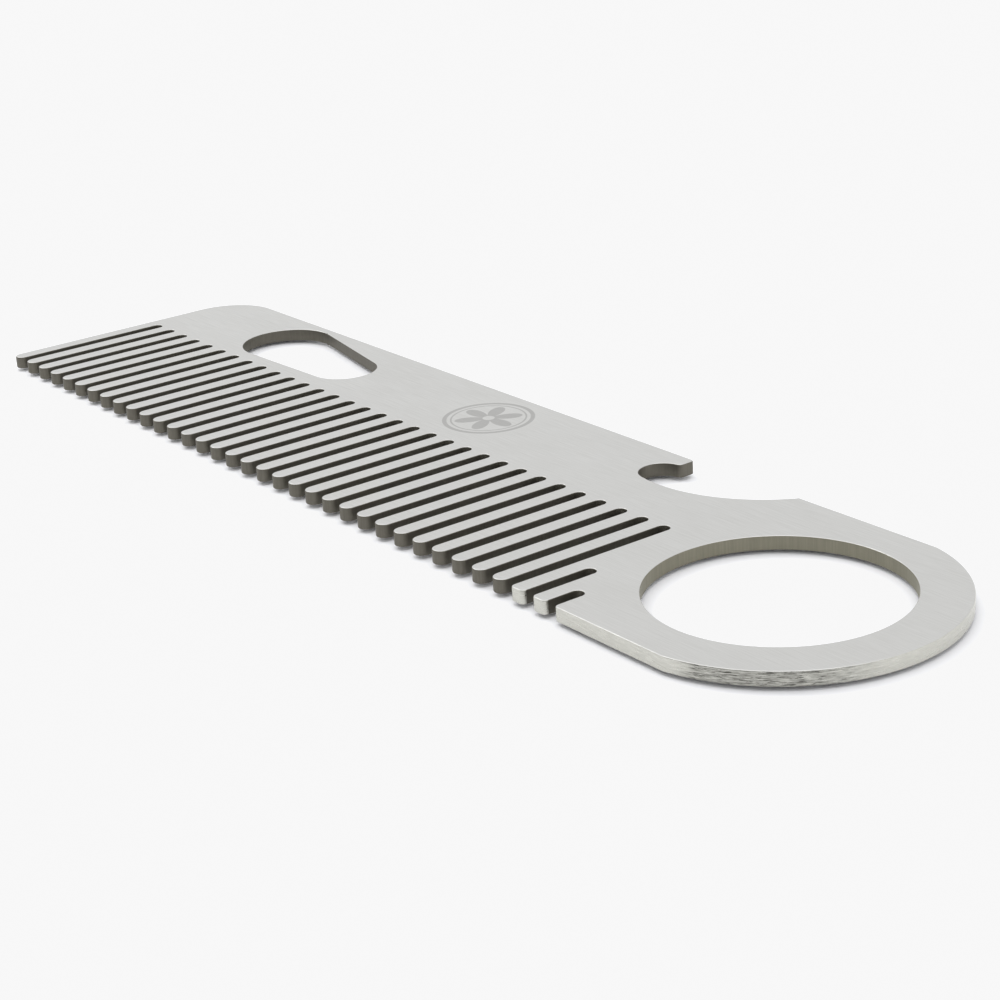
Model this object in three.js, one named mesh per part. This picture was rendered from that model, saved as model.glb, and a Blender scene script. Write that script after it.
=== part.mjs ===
// Beard comb with a finger ring: one flat plate of stainless steel, cut right through.
// Millimetres, +Z up. The plate lies with its underside on z = 0, its length along X and its
// width along Y: the ring is at the +X end, the teeth point to -Y and the spine's back edge is
// at +Y. The origin is under the middle of the plate.

import * as THREE from 'three';

// The plate. Its width is the teeth and the spine together.
const plateThickness = 1.5;
const toothLength = 20.3;
const spineWidth = 14.3;

// The finger ring, centred on the plate's width. The plate's straight edges run past the
// ring's centre by this much before they meet its round outside.
const ringHoleRadius = 12.7;
const straightPastRing = 3.5;

// Teeth and the gaps between them, counted from the ring. The first gaps are short, to stay
// clear of the ring's hole, and the teeth beside them have square tips.
const toothPitch = 3.28;
const gapWidth = 1.4;
const gapCount = 34;
const firstGapFromRing = 12.1;
const shortGapLengths = [4.05, 8.2];

// Corners: the far end's, and the small ones of the square tips, the ring side and the hook
const endCornerRadius = 6.6;
const smallCornerRadius = 0.5;

// The bottle opener in the back edge: a round pocket behind a hook, open into a wide throat
const hookTipFromRing = 30.7;
const hookThickness = 2.1;
const pocketRadius = 2.5;
const throatRadius = 15.75;
const throatShift = 2.4; // the throat's centre lies this much nearer the ring than the pocket's

// The hanging hole near the far end: a large and a small round end joined by straight sides
const holeToBackEdge = 1.2;
const holeToTeeth = 1.7;
const holeToFarEnd = 16.5;
const smallEndRadius = 4;
const smallEndToTeeth = 2.3;
const holeEndSpacing = 14.8;

// Facets: the largest turn of one facet on a wide curve, and facets round a gap or a tip
const facetTurn = Math.PI / 72;
const narrowFacets = 10;
const cornerFacets = 4;

// Lines that follow from the sizes above, with the ring's centre at x = 0, y = 0
const halfWidth = (toothLength + spineWidth) / 2;
const tipLine = -halfWidth;
const backLine = halfWidth;
const gapEndLine = backLine - spineWidth;
const toothWidth = toothPitch - gapWidth;
const ringRadius = Math.hypot(halfWidth, straightPastRing);
const lastGap = gapCount - 1;
const farEnd = gapMiddle(lastGap) - gapWidth / 2 - toothWidth;

// The middle of a gap, counted from 0 at the ring
function gapMiddle(index) {
  return -(firstGapFromRing + index * toothPitch);
}

// Points of an arc, both ends included
function arc(x, y, radius, from, to, facets = Math.ceil(Math.abs(to - from) / facetTurn)) {
  const points = [];
  for (let i = 0; i <= facets; i += 1) {
    const angle = from + ((to - from) * i) / facets;
    points.push(new THREE.Vector2(x + radius * Math.cos(angle), y + radius * Math.sin(angle)));
  }
  return points;
}

// The ring's round outside, from the tooth side's straight edge to the back edge
function ringOutside() {
  const cut = Math.asin(halfWidth / ringRadius);
  return arc(0, 0, ringRadius, -cut, cut);
}

// A small rounded corner of the outline, a quarter turn from this angle
function smallCorner(x, y, from) {
  return arc(x, y, smallCornerRadius, from, from + Math.PI / 2, cornerFacets);
}

// The opener, from the corner nearest the ring, along the throat and round the pocket to the
// tip of the hook. The throat's curve runs into the pocket's without a corner, and the pocket's
// into the hook's blunt tip, which has two small rounded corners.
function opener() {
  const pocketX = -hookTipFromRing;
  const pocketY = backLine - hookThickness - pocketRadius;
  const centreDistance = throatRadius - pocketRadius;
  const lean = Math.acos(throatShift / centreDistance);
  const throatX = pocketX + throatShift;
  const throatY = pocketY + centreDistance * Math.sin(lean);
  const mouth = -Math.asin((throatY - backLine) / throatRadius);
  const meeting = lean - Math.PI;
  const throat = arc(throatX, throatY, throatRadius, mouth, meeting);
  const tipX = pocketX - smallCornerRadius;
  const tipRise = Math.sqrt((pocketRadius + smallCornerRadius) ** 2 - smallCornerRadius ** 2);
  const leave = Math.atan2(tipRise, -smallCornerRadius) - 2 * Math.PI;
  const pocket = arc(pocketX, pocketY, pocketRadius, meeting, leave);
  const inner = arc(tipX, pocketY + tipRise, smallCornerRadius, leave + Math.PI, 0, cornerFacets);
  const outer = smallCorner(tipX, backLine - smallCornerRadius, 0);
  return [...throat, ...pocket.slice(1), ...inner.slice(1), ...outer];
}

// The rounded corner where the back edge meets the far end
function endCorner() {
  const x = farEnd + endCornerRadius;
  const y = backLine - endCornerRadius;
  return arc(x, y, endCornerRadius, Math.PI / 2, Math.PI);
}

// A tooth's tip, across its width: square beside a short gap, otherwise a half circle
function toothTip(middle, square) {
  const half = toothWidth / 2;
  if (square) {
    const flat = half - smallCornerRadius;
    const y = tipLine + smallCornerRadius;
    return [...smallCorner(middle - flat, y, Math.PI), ...smallCorner(middle + flat, y, -Math.PI / 2)];
  }
  return arc(middle, tipLine + half, half, Math.PI, 2 * Math.PI, narrowFacets);
}

// The round inner end of a gap
function gapEnd(index) {
  const radius = gapWidth / 2;
  const end = index in shortGapLengths ? tipLine + shortGapLengths[index] : gapEndLine;
  return arc(gapMiddle(index), end - radius, radius, Math.PI, 0, narrowFacets);
}

// All the teeth, from the far end to the ring, each followed by the gap on its ring side
function teeth() {
  const points = [];
  for (let index = lastGap; index >= 0; index -= 1) {
    const middle = gapMiddle(index) - gapWidth / 2 - toothWidth / 2;
    points.push(...toothTip(middle, index in shortGapLengths), ...gapEnd(index));
  }
  const ringSide = gapMiddle(0) + gapWidth / 2;
  points.push(...smallCorner(ringSide + smallCornerRadius, tipLine + smallCornerRadius, Math.PI));
  return points;
}

// The hanging hole. Its large end fills the spine but for a wall on each side.
function hangingHole() {
  const bigRadius = (spineWidth - holeToBackEdge - holeToTeeth) / 2;
  const bigX = farEnd + holeToFarEnd + bigRadius;
  const bigY = gapEndLine + holeToTeeth + bigRadius;
  const smallX = bigX + holeEndSpacing;
  const smallY = gapEndLine + smallEndToTeeth + smallEndRadius;
  const slope = Math.atan2(smallY - bigY, smallX - bigX);
  const distance = Math.hypot(smallX - bigX, smallY - bigY);
  const touch = Math.acos((bigRadius - smallEndRadius) / distance);
  const bigEnd = arc(bigX, bigY, bigRadius, slope + touch, slope + 2 * Math.PI - touch);
  const smallEnd = arc(smallX, smallY, smallEndRadius, slope - touch, slope + touch);
  return [...bigEnd, ...smallEnd];
}

// The finger ring's hole
function ringHole() {
  return arc(0, 0, ringHoleRadius, 0, 2 * Math.PI).slice(0, -1);
}

// Brushed stainless steel, a little warm
function brushedSteel() {
  return new THREE.MeshStandardMaterial({ color: 0xc9c8c4, metalness: 1, roughness: 0.38 });
}

// The whole comb, cut from one sheet
function combPlate() {
  const outline = new THREE.Shape([...ringOutside(), ...opener(), ...endCorner(), ...teeth()]);
  outline.holes.push(new THREE.Path(ringHole()), new THREE.Path(hangingHole()));
  const geometry = new THREE.ExtrudeGeometry(outline, { depth: plateThickness, bevelEnabled: false });
  const mesh = new THREE.Mesh(geometry, brushedSteel());
  mesh.name = 'comb_plate';
  mesh.position.x = -(ringRadius + farEnd) / 2;
  return mesh;
}

const comb = new THREE.Group();
comb.add(combPlate());

export default comb;
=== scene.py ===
import math

import bpy
from mathutils import Matrix, Vector


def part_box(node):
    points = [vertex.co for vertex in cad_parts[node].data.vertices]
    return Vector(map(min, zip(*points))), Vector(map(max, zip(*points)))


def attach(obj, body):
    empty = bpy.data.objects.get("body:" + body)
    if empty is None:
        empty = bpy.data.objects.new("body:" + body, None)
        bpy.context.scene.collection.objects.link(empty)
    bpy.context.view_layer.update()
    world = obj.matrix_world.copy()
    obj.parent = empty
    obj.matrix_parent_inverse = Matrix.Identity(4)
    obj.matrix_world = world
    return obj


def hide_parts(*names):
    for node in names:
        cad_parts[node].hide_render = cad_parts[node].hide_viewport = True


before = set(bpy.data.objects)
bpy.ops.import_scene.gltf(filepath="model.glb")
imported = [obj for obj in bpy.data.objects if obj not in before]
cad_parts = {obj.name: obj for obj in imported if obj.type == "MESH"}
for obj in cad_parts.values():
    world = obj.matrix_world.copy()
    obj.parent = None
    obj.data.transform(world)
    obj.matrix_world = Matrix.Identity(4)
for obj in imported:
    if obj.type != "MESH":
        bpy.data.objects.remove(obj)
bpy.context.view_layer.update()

# ----------------------------------------------------------------------------------------------
# Camera: a long lens low beyond the finger ring, so that the comb runs away to the upper left.
# It is aimed by the ring's centre, in the middle of the plate's width near the +X end.

plate_low, plate_high = (Vector(corner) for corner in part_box("comb_plate"))
half_width = (plate_high.y - plate_low.y) / 2
past_ring = 0.0035
ring_radius = math.hypot(half_width, past_ring)
ring_centre = Vector((plate_high.x - ring_radius, 0.0, plate_high.z))

camera_turn = math.radians(53.94)
camera_height = math.radians(20.95)
camera_roll = math.radians(-3.44)
camera_distance = 0.22988
camera_target = ring_centre + Vector((-0.036306, -0.004435, 0.0))
camera_side = Vector((
    math.sin(camera_turn) * math.cos(camera_height),
    -math.cos(camera_turn) * math.cos(camera_height),
    math.sin(camera_height),
))

camera_data = bpy.data.cameras.new("camera")
camera_data.sensor_width = 36.0
camera_data.lens = 80.665
camera_data.clip_start = 0.005
camera = bpy.data.objects.new("camera", camera_data)
bpy.context.collection.objects.link(camera)
camera.location = camera_target + camera_side * camera_distance
upright = camera_side.to_track_quat("Z", "Y").to_matrix().to_4x4()
camera.rotation_euler = (upright @ Matrix.Rotation(camera_roll, 4, "Z")).to_euler()
bpy.context.scene.camera = camera

# ----------------------------------------------------------------------------------------------
# The comb: one plate of stainless steel, cut from brushed sheet by a laser. The cut leaves the
# walls dark. The straight edges and the ring's outside are then ground bright, and every edge is
# tumbled until it is rounded.

edge_round = 0.00012
round_facets = 4
weld_distance = 1e-6
flat_turn = math.radians(0.2)

bpy.ops.object.select_all(action="DESELECT")
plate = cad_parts["comb_plate"].copy()
plate.data = plate.data.copy()
plate.name = plate.data.name = "comb"
plate.parent = None
bpy.context.collection.objects.link(plate)
plate.select_set(True)
bpy.context.view_layer.objects.active = plate

bpy.ops.object.mode_set(mode="EDIT")
bpy.ops.mesh.select_mode(type="EDGE")
bpy.ops.mesh.select_all(action="SELECT")
bpy.ops.mesh.customdata_custom_splitnormals_clear()
bpy.ops.mesh.remove_doubles(threshold=weld_distance)
bpy.ops.mesh.dissolve_limited(angle_limit=flat_turn)
bpy.ops.object.mode_set(mode="OBJECT")

# Only the level edges of the upright walls are rounded. A wall is a face that stands upright and
# is large enough for its normal to be true.
upright_normal = 0.1
smallest_wall = 1e-10
weights = plate.data.attributes.new("bevel_weight_edge", "FLOAT", "EDGE")
rims = set()
for face in plate.data.polygons:
    if abs(face.normal.z) < upright_normal and face.area > smallest_wall:
        rims.update(face.edge_keys)
for edge in plate.data.edges:
    start_z, end_z = (plate.data.vertices[i].co.z for i in edge.vertices)
    if edge.key in rims and abs(start_z - end_z) < weld_distance:
        weights.data[edge.index].value = 1.0
rounding = plate.modifiers.new("rounded edges", "BEVEL")
rounding.limit_method = "WEIGHT"
rounding.width = edge_round
rounding.segments = round_facets
rounding.use_clamp_overlap = False
bpy.ops.object.modifier_apply(modifier=rounding.name)

# The two flat sides are filled again between their new rims, so that they are true and sharp.
# They are filled at a thousand times their size, where the fill is exact.
enlarged = 1000.0
level_normal = 0.999
level_slack = 0.01
plate.data.transform(Matrix.Scale(enlarged, 4))
for side in (plate_low.z * enlarged, plate_high.z * enlarged):
    for kind in (plate.data.vertices, plate.data.edges, plate.data.polygons):
        kind.foreach_set("select", [False] * len(kind))
    for face in plate.data.polygons:
        is_level = abs(face.normal.z) > level_normal
        face.select = is_level and abs(face.center.z - side) < level_slack
    bpy.ops.object.mode_set(mode="EDIT")
    bpy.ops.mesh.select_mode(type="FACE")
    bpy.ops.mesh.delete(type="FACE")
    bpy.ops.mesh.select_mode(type="EDGE")
    bpy.ops.mesh.select_non_manifold(use_wire=False, use_multi_face=False, use_verts=False)
    bpy.ops.mesh.mark_sharp()
    bpy.ops.mesh.fill(use_beauty=True)
    bpy.ops.mesh.select_all(action="SELECT")
    bpy.ops.mesh.normals_make_consistent(inside=False)
    bpy.ops.object.mode_set(mode="OBJECT")
plate.data.transform(Matrix.Scale(1 / enlarged, 4))
bpy.ops.object.shade_smooth()
shading = plate.modifiers.new("even shading", "WEIGHTED_NORMAL")
shading.keep_sharp = True
bpy.ops.object.modifier_apply(modifier=shading.name)

# The belt ground the ring's outside, the straight edges, the far end and the two square tips.
# It did not reach the gaps, the round tips, the opener or the holes.
square_tips_end = ring_centre.x - 0.0180
reach = 0.00015
tip_depth = 0.0006
far_tip_height = 0.001
far_corner = 0.0066


def is_ground_at(x, y):
    """Whether the belt reached the plate's outline at this place."""
    if x > ring_centre.x + past_ring - reach:
        return math.hypot(x - ring_centre.x, y) > ring_radius - tip_depth
    on_front = y < -half_width + (tip_depth if x > square_tips_end else -1.0)
    on_corner = x < plate_low.x + far_corner and y > half_width - far_corner
    on_far_end = x < plate_low.x + reach and y > -half_width + far_tip_height
    return on_front or y > half_width - reach or on_corner or on_far_end


# Each face is marked with its finish. The side of each round tip away from the ring is given the
# ground finish as a painted highlight, and the upper half of a rounded edge is finished as the
# sheet is.
sheet_finish = 0.0
cut_finish = 0.5
ground_finish_and_highlight = 1.0
round_tip_depth = 0.0009
tip_side_normal = -0.5
rounding_middle = 0.72
finish_and_highlight = plate.data.attributes.new("finish_and_highlight", "FLOAT", "FACE")
for face in plate.data.polygons:
    x, y, _ = face.center
    tip_painted_highlight = y < -half_width + round_tip_depth and face.normal.x < tip_side_normal
    if abs(face.normal.z) > rounding_middle:
        finish_and_highlight.data[face.index].value = sheet_finish
    elif is_ground_at(x, y) or tip_painted_highlight:
        finish_and_highlight.data[face.index].value = ground_finish_and_highlight
    else:
        finish_and_highlight.data[face.index].value = cut_finish


class Wire:
    """A socket of a node tree. Sums on it add Math nodes, and node() adds any other."""

    def __init__(self, tree, socket=None):
        self.tree = tree
        self.socket = socket

    def node(self, kind, settings, inputs, output=0):
        new = self.tree.nodes.new(kind)
        for name, setting in settings.items():
            setattr(new, name, setting)
        for name, value in inputs.items():
            if isinstance(value, Wire):
                self.tree.links.new(value.socket, new.inputs[name])
            else:
                new.inputs[name].default_value = value
        return Wire(self.tree, new.outputs[output])

    def maths(self, operation, *values):
        return self.node("ShaderNodeMath", {"operation": operation}, dict(enumerate(values)))

    def __add__(self, other):
        return self.maths("ADD", self, other)

    def __sub__(self, other):
        return self.maths("SUBTRACT", self, other)

    def __rsub__(self, other):
        return self.maths("SUBTRACT", other, self)

    def __mul__(self, other):
        return self.maths("MULTIPLY", self, other)

    __radd__ = __add__
    __rmul__ = __mul__

    def rise(self, start, end):
        """0 before start, 1 after end, and smooth between them. It falls if end is lower."""
        limits = {"Value": self, "From Min": start, "From Max": end}
        return self.node("ShaderNodeMapRange", {"interpolation_type": "SMOOTHSTEP"}, limits)

    def blend(self, first, second):
        """The first colour where this is 0 and the second where it is 1."""
        mix_factor, mix_first, mix_second, mix_result = 0, 6, 7, 2
        colours = {mix_factor: self, mix_first: first, mix_second: second}
        return self.node("ShaderNodeMix", {"data_type": "RGBA"}, colours, mix_result)


def grain(place, stretch, detail=2.0, roughness=0.5):
    """Noise about 0.5, with this many cells to the metre along each axis."""
    cells = place.node("ShaderNodeMapping", {}, {"Vector": place, "Scale": stretch})
    inputs = {"Vector": cells, "Scale": 1.0, "Detail": detail, "Roughness": roughness}
    return place.node("ShaderNodeTexNoise", {}, inputs)


steel = bpy.data.materials.new("brushed_steel")
steel.use_nodes = True
tree = steel.node_tree
start = Wire(tree)
place = start.node("ShaderNodeTexCoord", {}, {}, "Object")
along = start.node("ShaderNodeSeparateXYZ", {}, {"Vector": place}, "X")
across = start.node("ShaderNodeSeparateXYZ", {}, {"Vector": place}, "Y")
height = start.node("ShaderNodeSeparateXYZ", {}, {"Vector": place}, "Z")
kind_of_face = start.node("ShaderNodeAttribute", {"attribute_name": "finish_and_highlight"}, {}, "Fac")
# Ground faces, and the far sides of the round tips, which take the ground colour as a painted
# highlight.
ground_and_lit_tips = kind_of_face.rise(cut_finish + 0.2, cut_finish + 0.3)
is_wall = kind_of_face.rise(sheet_finish + 0.2, sheet_finish + 0.3)

# The sheet's surface: hair lines along its length, faint clouds from handling and a few scuffs
hair_lines = grain(place, (200.0, 7000.0, 1.0), detail=4.0, roughness=0.6).rise(0.3, 0.7)
clouds = grain(place, (90.0, 140.0, 90.0), detail=3.0)
scuffs = grain(place, (420.0, 1300.0, 1.0), detail=4.0, roughness=0.7).rise(0.66, 0.78)
sheet_light = (0.590, 0.587, 0.570, 1.0)
sheet_dull = (0.515, 0.511, 0.492, 1.0)
dullness = hair_lines * 0.45 + clouds * 0.55 + scuffs * 0.35 - 0.05
sheet_colour = dullness.blend(sheet_light, sheet_dull)

# Ground edges: light, with belt lines along the edge. At the front of the ring the wall is
# painted darker, a painted dark reflection of the dim front of the tent, and real deep grinding
# streaks are laid in there too.
belt_lines = grain(place, (800.0, 800.0, 11000.0), detail=3.0, roughness=0.65).rise(0.34, 0.66)
deep_streaks = grain(place, (900.0, 900.0, 9000.0), detail=3.0, roughness=0.7).rise(0.54, 0.60)
from_ring_x = along - ring_centre.x
ring_turn = start.maths("ARCTAN2", across, from_ring_x)
# Painted dark reflection: between these turns about the ring's centre the ground wall's colour
# is darkened.
dark_reflection_start = ring_turn.rise(math.radians(-75), math.radians(-66))
dark_reflection_end = ring_turn.rise(math.radians(-10), math.radians(-38))
dark_reflection_zone = dark_reflection_start * dark_reflection_end
ground_light = (0.600, 0.595, 0.540, 1.0)
ground_dark = (0.100, 0.098, 0.086, 1.0)
ground_streaks_and_shade = belt_lines * (dark_reflection_zone * 0.45 + 0.10) + dark_reflection_zone * (deep_streaks * 0.50 + 0.18)
ground_colour = (ground_streaks_and_shade + 0.02).blend(ground_light, ground_dark)

# Cut walls: brown-grey oxide with fine upright ripples from the beam
ripples = grain(place, (5200.0, 5200.0, 260.0), detail=2.0)
cut_light = (0.20, 0.188, 0.158, 1.0)
cut_dark = (0.075, 0.070, 0.055, 1.0)
ring_hole_outside = 0.0134
ring_reach = start.maths("SQRT", from_ring_x * from_ring_x + across * across)
in_ring_hole = ring_reach.rise(ring_hole_outside, ring_hole_outside - 0.0003)
hole_light = (0.34, 0.325, 0.250, 1.0)
cut_colour = (ripples * 0.25 + 0.22).blend(in_ring_hole.blend(cut_light, hole_light), cut_dark)

# The maker's mark, etched grey in the middle of the spine: a six-petalled rosette in two rings
mark_x = -0.0053
mark_y = 0.0104
mark_radius = 0.0053
petal_count = 6
from_mark_x = along - mark_x
from_mark_y = across - mark_y
mark_reach = start.maths("SQRT", from_mark_x * from_mark_x + from_mark_y * from_mark_y)
mark_angle = start.maths("ARCTAN2", from_mark_y, from_mark_x)
petal = start.maths("ABSOLUTE", start.maths("COSINE", mark_angle * (petal_count / 2)))
petal_length = petal * 0.0030 + 0.0009
petal_softness = 0.00008
petals = (mark_reach - petal_length).rise(petal_softness, -petal_softness)
hub = mark_reach.rise(0.00075, 0.00065)


def etched_ring(radius, half_thickness):
    """A ring of the mark, soft at its rims."""
    off = start.maths("ABSOLUTE", mark_reach - radius)
    return off.rise(half_thickness + 0.00005, half_thickness - 0.00005)


wide_ring = etched_ring(mark_radius - 0.00025, 0.00025)
thin_ring = etched_ring(mark_radius - 0.0010, 0.0001)
rings = wide_ring + thin_ring
on_top = height.rise(plate_high.z - 0.00005, plate_high.z - 0.00002)
mark = start.maths("MINIMUM", rings + petals * (1 - hub), 1.0) * on_top
mark_grey = (0.36, 0.355, 0.345, 1.0)

wall_colour = ground_and_lit_tips.blend(cut_colour, ground_colour)
face_colour = (mark * 0.75).blend(sheet_colour, mark_grey)
colour = is_wall.blend(face_colour, wall_colour)

sheet_roughness = hair_lines * 0.10 + clouds * 0.08 + mark * 0.15 + 0.30
ground_roughness = belt_lines * 0.15 + 0.26
cut_roughness = ripples * 0.15 + 0.45
wall_roughness = ground_and_lit_tips * (ground_roughness - cut_roughness) + cut_roughness
roughness = is_wall * (wall_roughness - sheet_roughness) + sheet_roughness

sheet_relief = hair_lines * 0.5 + scuffs * 0.3
wall_relief = ground_and_lit_tips * (belt_lines - ripples) + ripples
relief = is_wall * (wall_relief - sheet_relief) + sheet_relief
bumps = start.node(
    "ShaderNodeBump", {}, {"Height": relief, "Strength": 0.25, "Distance": 0.00003}, "Normal"
)

shader = tree.nodes["Principled BSDF"]
shader.inputs["Metallic"].default_value = 1.0
tree.links.new(colour.socket, shader.inputs["Base Color"])
tree.links.new(roughness.socket, shader.inputs["Roughness"])
tree.links.new(bumps.socket, shader.inputs["Normal"])

plate.data.materials.clear()
plate.data.materials.append(steel)
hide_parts("comb_plate")
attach(plate, "root")

# ----------------------------------------------------------------------------------------------
# The floor: a wide sheet of matt white paper that the comb lies on. The comb touches it at a
# few high points only, so the paper lies a little lower than the plate's underside.

floor_side = 5.0
paper_dip = 0.0004
bpy.ops.object.select_all(action="DESELECT")
bpy.ops.mesh.primitive_plane_add(size=floor_side, location=(0.0, 0.0, plate_low.z - paper_dip))
floor = bpy.context.active_object
floor.name = floor.data.name = "floor"
paper = bpy.data.materials.new("white_paper")
paper.use_nodes = True
paper_shader = paper.node_tree.nodes["Principled BSDF"]
paper_shader.inputs["Base Color"].default_value = (0.93, 0.93, 0.945, 1.0)
paper_shader.inputs["Roughness"].default_value = 0.9
paper_shader.inputs["Specular IOR Level"].default_value = 0.1
floor.data.materials.append(paper)

# ----------------------------------------------------------------------------------------------
# Light: a white tent all round, dimmer low down in front, and one large soft lamp up behind on
# the left, which draws the short shadow under the front of the ring.

lamp_data = bpy.data.lights.new("soft_lamp", "AREA")
lamp_data.shape = "DISK"
lamp_data.size = 0.5
lamp_data.energy = 2.2
lamp = bpy.data.objects.new("soft_lamp", lamp_data)
bpy.context.collection.objects.link(lamp)
lamp.location = (-0.70, -0.22, 0.85)
lamp.rotation_euler = lamp.location.to_track_quat("Z", "Y").to_euler()

tent = bpy.data.worlds.new("white_tent")
bpy.context.scene.world = tent
tent.use_nodes = True
sky = Wire(tent.node_tree)
towards = sky.node("ShaderNodeTexCoord", {}, {}, "Generated")
sky_x = sky.node("ShaderNodeSeparateXYZ", {}, {"Vector": towards}, "X")
sky_y = sky.node("ShaderNodeSeparateXYZ", {}, {"Vector": towards}, "Y")
sky_z = sky.node("ShaderNodeSeparateXYZ", {}, {"Vector": towards}, "Z")
in_front = (sky_x * 0.45 - sky_y * 0.9).rise(0.1, 0.8)
low_down = sky_z.rise(0.75, 0.15)
overhead = sky_z.rise(0.85, 0.98)
tent_light = 1.12 - in_front * low_down * 0.85 + overhead * 1.2
seen_white = 0.93
seen = sky.node("ShaderNodeLightPath", {}, {}, "Is Camera Ray")
tent_light = seen * (seen_white - tent_light) + tent_light
background = tent.node_tree.nodes["Background"]
background.inputs["Color"].default_value = (0.985, 0.99, 1.0, 1.0)
tent.node_tree.links.new(tent_light.socket, background.inputs["Strength"])

# Tones: plain, with white paper held just below full white
paper_white = 0.935
view = bpy.context.scene.view_settings
view.view_transform = "Standard"
view.use_curve_mapping = True
tones = view.curve_mapping
tones.extend = "HORIZONTAL"
tones.curves[3].points[1].location = (1.0, paper_white)
tones.update()
